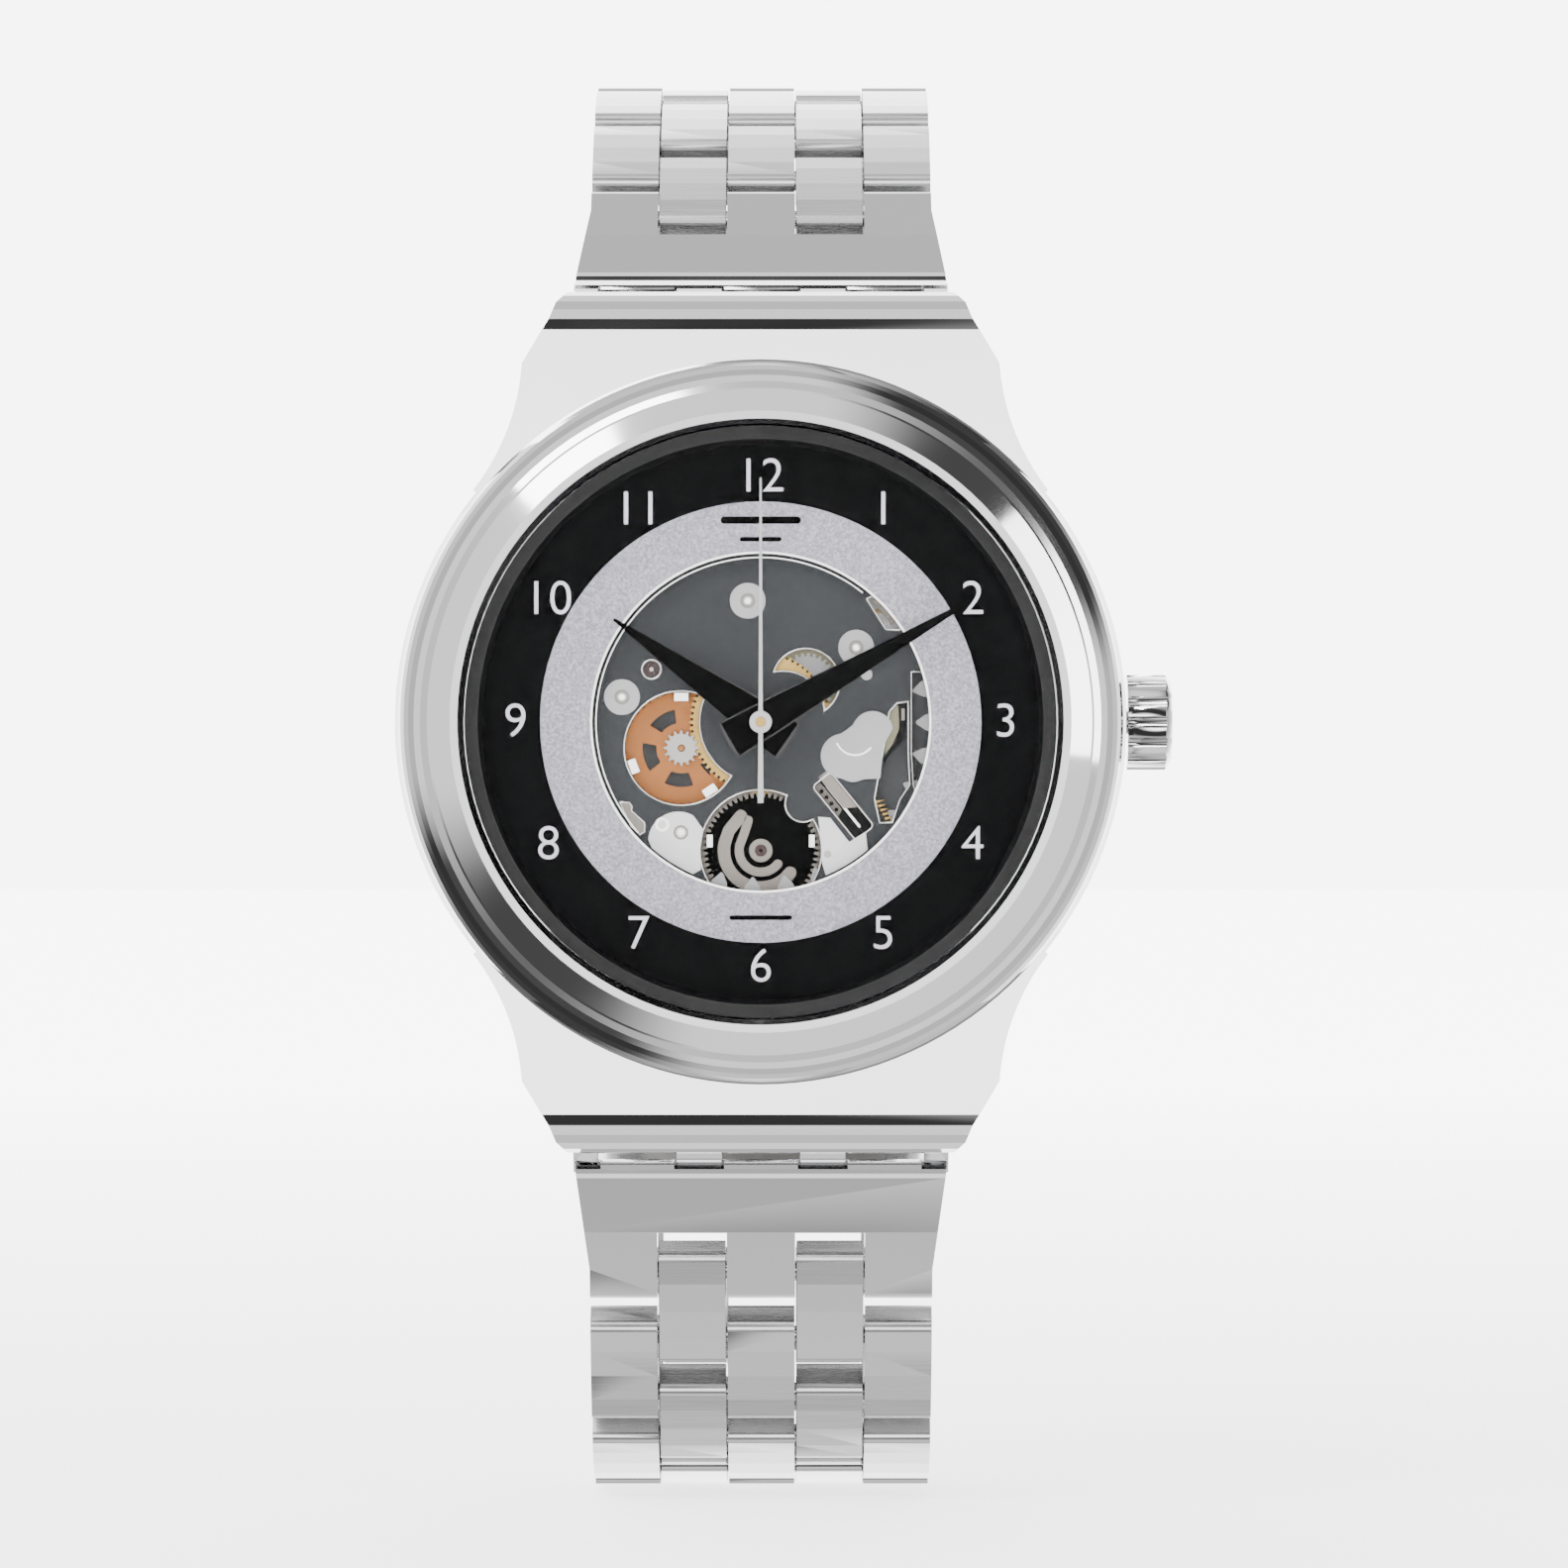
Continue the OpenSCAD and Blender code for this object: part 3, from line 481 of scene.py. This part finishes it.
# Cloud-shaped cover with its curved spring
cloud = (arc((6.45, -0.55), 1.2, 10, 160, 20) + arc((4.75, -1.95), 1.3, 95, 265, 24)
         + arc((5.3, -2.3), 1.15, 262, 300, 6) + [(6.9, -3.25), (7.05, -1.4)])
plate_piece("cloud_cover", [cloud], PLATE_TOP)
plate_piece("curved_spring", [band(arc((5.45, -0.75), 1.15, 205, 320, 16), 0.14)], PLATE_TOP + 0.07, RIM,
            0.04)

# Pale plates along the lower edge
lower_left = (arc((-4.75, -6.9), 1.75, 60, 175, 20) + arc((0, 0), 9.6, 229, 246, 10)
              + [(-3.45, -8.5), (-3.5, -7.4), (-3.3, -6.2)])
plate_piece("lower_left_plate", [lower_left], PLATE_TOP, WHITE)
plate_piece("lower_left_ear", [ring((-5.68, -5.9), 0.42, 32), ring((-5.68, -5.9), 0.24, 24)],
            PLATE_TOP + 0.02, RIM)
notch = [(-8.12, -4.6), (-7.6, -4.62), (-7.42, -4.85), (-7.48, -5.1), (-6.7, -5.8), (-6.7, -6.3),
         (-6.95, -6.5), (-7.5, -6.0)]
plate_piece("lower_left_notch", [notch], PLATE_TOP + 0.01, TAUPE, 0.03, chamfer=0.01)
rim("lower_left_notch_rim", notch, width=0.1)
lower_right = ([(3.3, -5.45), (4.0, -5.5), (5.1, -6.9), (6.05, -6.3)] + arc((0, 0), 9.6, 310, 293, 10)
               + [(3.55, -8.2), (3.5, -7.0)])
plate_piece("lower_right_plate", [lower_right], PLATE_TOP, WHITE)
plate_piece("lower_right_rivet", [ring((3.85, -7.6), 0.2, 24)], PLATE_TOP + 0.08, STEEL, 0.03)


# ---- wheels' details ----

def cog(centre, teeth, foot, tip):
    """Outline of a small wheel with squarish teeth."""
    step = 360 / teeth
    outline = []
    for i in range(teeth):
        for share, radius in ((-0.3, foot), (-0.16, tip), (0.16, tip), (0.3, foot)):
            outline.append(polar(radius, step * (i + share)))
    return shifted(outline, centre)


BARREL_FACE = GEAR_TOP + 0.03
plate_piece("barrel_face", [cog(BARREL_AT, 60, 3.07, 3.3)], BARREL_FACE, BLACK, 0.03, "barrel",
            FINE_CHAMFER)


def barrel_band(name, radius, start, end, width, lead):
    """Curved pale strip on the barrel, with a straight lead at its end."""
    path = arc(BARREL_AT, radius, start, end, 30) + shifted(lead, BARREL_AT)
    plate_piece(name, [band(path, width)], BARREL_FACE, TAUPE, 0.04, "barrel", 0.01)


barrel_band("barrel_outer_band", 2.13, -37, -190, 0.72, [(-1.85, 1.15), (-1.15, 2.0)])
barrel_band("barrel_inner_band", 1.25, -38, -195, 0.52, [(-0.95, 1.0), (-0.72, 1.75)])
plate_piece("barrel_hub", [ring(BARREL_AT, 0.68, 40), ring(BARREL_AT, 0.34, 32)], BARREL_FACE, TAUPE, 0.06,
            "barrel")
plate_piece("barrel_jewel", [ring(BARREL_AT, 0.32, 32), ring(BARREL_AT, 0.08, 12)], BARREL_FACE, JEWEL, 0.05,
            "barrel", 0.01)
plate_piece("barrel_dot", [ring((2.2, -7.45), 0.2, 24)], BARREL_FACE, TAUPE, 0.02, "barrel",
            FINE_CHAMFER)
for side in (-1, 1):
    tab = shifted(rounded_box(0.36, 0.75, 0.05), (side * 2.95, -6.85))
    plate_piece(f"barrel_tab_{side + 2}", [tab], GEAR_TOP, RIM, 0.35, "case")

# Pale seat that shows between the barrel's teeth
plate_piece("barrel_seat", [ring(BARREL_AT, 3.7), ring(BARREL_AT, 3.05)], BARREL_SEAT, TAUPE, 0.1)

# The minute wheel's pinion
plate_piece("minute_pinion_top", [cog(MINUTE_AT, 16, 0.84, 1.04), ring(MINUTE_AT, 0.2, 20)], GEAR_TOP,
            STEEL, 0.06, "minute_wheel")
plate_piece("minute_pinion_core", [ring(MINUTE_AT, 0.2, 20), ring(MINUTE_AT, 0.1, 12)], GEAR_TOP, JEWEL, 0.05,
            "minute_wheel", FINE_CHAMFER)

# Toothed face of the setting wheel, over a darker ground, with a turned groove
plate_piece("setting_ground", [ring(SETTING_AT, 1.95)], SETTING_FACE - 0.03, OLIVE, 0.02,
            "setting_wheel", FINE_CHAMFER)
plate_piece("setting_face", [cog(SETTING_AT, 29, 1.5, 1.7)], SETTING_FACE, PALE, 0.03,
            "setting_wheel", FINE_CHAMFER)
plate_piece("setting_groove", [ring(SETTING_AT, 1.12), ring(SETTING_AT, 1.04)], SETTING_FACE,
            GREY_FLOOR, 0.02, "setting_wheel", FINE_CHAMFER)

# Dark ring between the hour wheel's teeth, painted shade that stands in for the teeth's shadow on the wheel
# below, and a grey ground under the minute wheel's slots
plate_piece("hour_teeth_painted_shade", [ring((0, 0), 4.03), ring((0, 0), 3.7)], SETTING_FACE + 0.03,
            DARK_STEEL, 0.02, "hour", FINE_CHAMFER)
plate_piece("minute_slot_ground", [ring(MINUTE_AT, 2.6), ring(MINUTE_AT, 0.6, 24)], SLOT_FLOOR,
            GREY_FLOOR, 0.04)

# Bright tabs that hold the minute wheel down
for i, angle in enumerate((90, 201, 304)):
    tab = turn(rounded_box(0.5, 0.85, 0.05), shifted([polar(2.95, angle)], MINUTE_AT)[0], angle)
    plate_piece(f"minute_tab_{i + 1}", [tab], TAB_LEVEL, RIM, 0.95)


# Click under the slanted slot
def in_slot(points):
    return turn(points, SLOT_AT, SLOT_ANGLE)


plate_piece("click_floor", [in_slot(rounded_box(3.9, 1.25, 0.2))], CLICK_FLOOR, DARK_STEEL, 0.05)
plate_piece("click_arm", [in_slot([(-2.2, -0.05), (0.1, -0.05), (0.55, 0.6), (-2.2, 0.6)])], ARM_LEVEL,
            TAUPE, 0.45)
plate_piece("click_bar", [in_slot(rounded_box(3.1, 0.16, 0.07))], CLICK_BAR_LEVEL, RIM, 0.25)
plate_piece("click_side", [in_slot([(-1.9, -0.6), (0.3, -0.6), (0.1, -0.15), (-1.9, -0.15)])],
            CLICK_SIDE_LEVEL, TAUPE, 0.1)
for i in range(4):
    plate_piece(f"click_tooth_{i + 1}", [in_slot(ring((-1.45 + 0.45 * i, -0.42), 0.13, 6))],
                CLICK_TOOTH_LEVEL, DARK_STEEL, 0.2)

# Levers in the right-hand window
plate_piece("lever_floor", [lever_window], LEVER_FLOOR, GREY_FLOOR, 0.05)
plate_piece("date_ground", [[(8.6, 3.0), (10.1, 3.0), (10.1, -5.3), (8.7, -4.0), (8.6, -1.7)]],
            DATE_FLOOR, GREY_FLOOR, 0.03)
plate_piece("yoke", [[(7.3, 0.3), (7.8, 1.0), (8.05, 1.0), (8.0, -0.4), (7.6, -1.3), (7.15, -1.9)]],
            YOKE_LEVEL, OLIVE, 0.3)
plate_piece("lever", [[(7.95, 1.05), (8.4, 1.05), (8.38, -0.1), (8.15, -1.1), (7.3, -2.0), (7.12, -2.5),
                       (7.1, -2.1), (7.75, -1.2), (8.0, -0.5)]], ARM_LEVEL, DARK_STEEL, 0.3)
plate_piece("lever_head", [shifted(rounded_box(0.2, 0.7, 0.06), (8.2, 0.45))], LEVER_HEAD_LEVEL, TAUPE, 0.05)
for i in range(7):
    tooth = turn([(-0.22, -0.1), (0.3, 0), (-0.22, 0.1)], (6.85 + 0.13 * i, -4.55 - 0.24 * i), 15)
    plate_piece(f"corner_tooth_{i + 1}", [tooth], CORNER_TOOTH_LEVEL, GILT, 0.25)
plate_piece("corner_clip", [[(6.3, 7.0), (7.0, 6.3), (7.5, 5.6), (8.1, 6.0), (7.3, 7.3)]],
            CORNER_CLIP_LEVEL, TAUPE, 0.2)


# ---- dial and hand trims ----

# Plain bars stand where the maker's words were: width, height, corner radius and place up the dial
BAR_LIFT = 0.02
BAR_THICK = 0.02
BARS = {"upper_bar": (4.6, 0.42, 0.2, 11.62), "upper_small_bar": (2.4, 0.26, 0.12, 10.52),
        "lower_bar": (3.6, 0.26, 0.12, -11.25)}
for name, (width, height, radius, up) in BARS.items():
    plate_piece(name, [shifted(rounded_box(width, height, radius), (0, up))], DIAL_TOP + BAR_LIFT, BLACK,
                BAR_THICK, chamfer=BAR_CHAMFER)

# Black faces inside the bright edges of the hour and minute hands
HOUR_ANGLE = 305
MINUTE_ANGLE = 60
HOUR_FACE = 8.95
MINUTE_FACE = 9.5
CAP_FACE = 9.9
HAND_INSET = 0.09
HAND_TIP = 0.08
HAND_SHOULDER = 0.9
HAND_CHAMFER = 0.015


def hand_face(name, body, length, width, tail_width, tail, h, clock_angle):
    """Black face of a hand, narrower than its bright edge all round."""
    side, foot = width / 2 - HAND_INSET, tail_width / 2 - HAND_INSET
    outline = [(HAND_TIP, length), (-HAND_TIP, length), (-side, HAND_SHOULDER), (-foot, HAND_INSET - tail),
               (foot, HAND_INSET - tail), (side, HAND_SHOULDER)]
    plate_piece(name, [turn(outline, (0, 0), -clock_angle)], h, BLACK, 0.05, body,
                HAND_CHAMFER)


hand_face("hour_hand_face", "hour", 10.3, 2.2, 2.5, 1.9, HOUR_FACE, HOUR_ANGLE)
hand_face("minute_hand_face", "minute", 14.0, 2.0, 2.3, 2.1, MINUTE_FACE, MINUTE_ANGLE)
plate_piece("seconds_cap", [ring((0, 0), 0.3, 24)], CAP_FACE, GILT, 0.06, "second")


# ---- stage, light and camera ----

FLOOR_SIZE = 6.0
FLOOR_GAP = 0.0003
SKY_STRENGTH = 7.0
# Brightness of the studio from the viewer's side at 0 to straight behind the watch at 1
SKY_TONES = [(0.0, 0.85), (0.008, 0.7), (0.022, 0.15), (0.036, 0.008), (0.088, 0.008), (0.115, 0.06),
             (0.15, 0.13), (0.22, 0.24), (0.36, 0.24), (0.5, 0.12), (0.62, 0.15), (0.8, 0.4), (0.93, 1.0)]
# Two dark flags, at the upper right and lower left: where they start and end, and the light that passes
DARK_FLAGS = (0.12, 0.34, 1.0, 0.06)
# Distances from the watch in metres, and the floor's glow there
FLOOR_GLOW = (0.05, 0.7, 2.6, 6.4)
VIEW_DISTANCE = 0.5
FRAME_WIDTH = 90.2 * MM
SENSOR = 36.0
VIEW_X = 1.34 * MM
VIEW_Z = -3.56 * MM


def glowing_floor():
    """Pale floor that glows more with distance, so that it blends into the white studio."""
    mat, tree, shader = new_material("pale_floor", (0.85, 0.85, 0.85), 0, 0.9)
    shader.inputs["Emission Color"].default_value = (1, 1, 1, 1)
    coords = tree.nodes.new("ShaderNodeTexCoord")
    distance = tree.nodes.new("ShaderNodeVectorMath")
    distance.operation = "LENGTH"
    tree.links.new(coords.outputs["Object"], distance.inputs[0])
    glow = map_range(tree, distance.outputs["Value"], FLOOR_GLOW)
    tree.links.new(glow.outputs["Result"], shader.inputs["Emission Strength"])
    return mat


def floor():
    mesh = bpy.data.meshes.new("floor")
    s = FLOOR_SIZE / 2
    z = cad_low.z - FLOOR_GAP
    mesh.from_pydata([(-s, -s, z), (s, -s, z), (s, s, z), (-s, s, z)], [], [(0, 1, 2, 3)])
    piece = bpy.data.objects.new("floor", mesh)
    bpy.context.scene.collection.objects.link(piece)
    mesh.materials.append(glowing_floor())
    piece.visible_glossy = False


def area_light(name, place, size, power):
    """A soft rectangular light that faces the watch."""
    data = bpy.data.lights.new(name, "AREA")
    data.shape = "RECTANGLE"
    data.size, data.size_y = size
    data.energy = power
    lamp = bpy.data.objects.new(name, data)
    lamp.location = place
    lamp.rotation_mode = "QUATERNION"
    lamp.rotation_quaternion = (-Vector(place)).to_track_quat("-Z", "Y")
    bpy.context.scene.collection.objects.link(lamp)


def sky():
    """White studio with a dark gap around the viewer's side, so that polished steel has contrast."""
    world = bpy.data.worlds.new("studio")
    bpy.context.scene.world = world
    world.use_nodes = True
    tree = world.node_tree
    coords = tree.nodes.new("ShaderNodeTexCoord")
    split = tree.nodes.new("ShaderNodeSeparateXYZ")
    tree.links.new(coords.outputs["Generated"], split.inputs["Vector"])
    scale = map_range(tree, split.outputs["Y"], (-1, 1, 0, 1))
    tone = ramp(tree, scale.outputs["Result"], SKY_TONES)
    corners = tree.nodes.new("ShaderNodeMath")
    corners.operation = "MULTIPLY"
    tree.links.new(split.outputs["X"], corners.inputs[0])
    tree.links.new(split.outputs["Z"], corners.inputs[1])
    flags = map_range(tree, corners.outputs["Value"], DARK_FLAGS)
    flags.interpolation_type = "SMOOTHSTEP"
    level = tree.nodes.new("ShaderNodeMath")
    level.operation = "MULTIPLY"
    level.inputs[1].default_value = SKY_STRENGTH
    tree.links.new(flags.outputs["Result"], level.inputs[0])
    background = tree.nodes["Background"]
    tree.links.new(tone.outputs["Color"], background.inputs["Color"])
    tree.links.new(level.outputs["Value"], background.inputs["Strength"])


floor()
sky()
area_light("key", (-0.45, -0.8, 0.8), (0.7, 0.35), 10)
area_light("fill", (0.8, -0.6, 0.25), (0.25, 0.7), 4)

camera_data = bpy.data.cameras.new("camera")
camera_data.sensor_width = SENSOR
camera_data.lens = SENSOR * VIEW_DISTANCE / FRAME_WIDTH
camera = bpy.data.objects.new("camera", camera_data)
camera.location = (VIEW_X, -DIAL_TOP * MM - VIEW_DISTANCE, VIEW_Z)
camera.rotation_euler = (math.pi / 2, 0, 0)
bpy.context.scene.collection.objects.link(camera)
bpy.context.scene.camera = camera
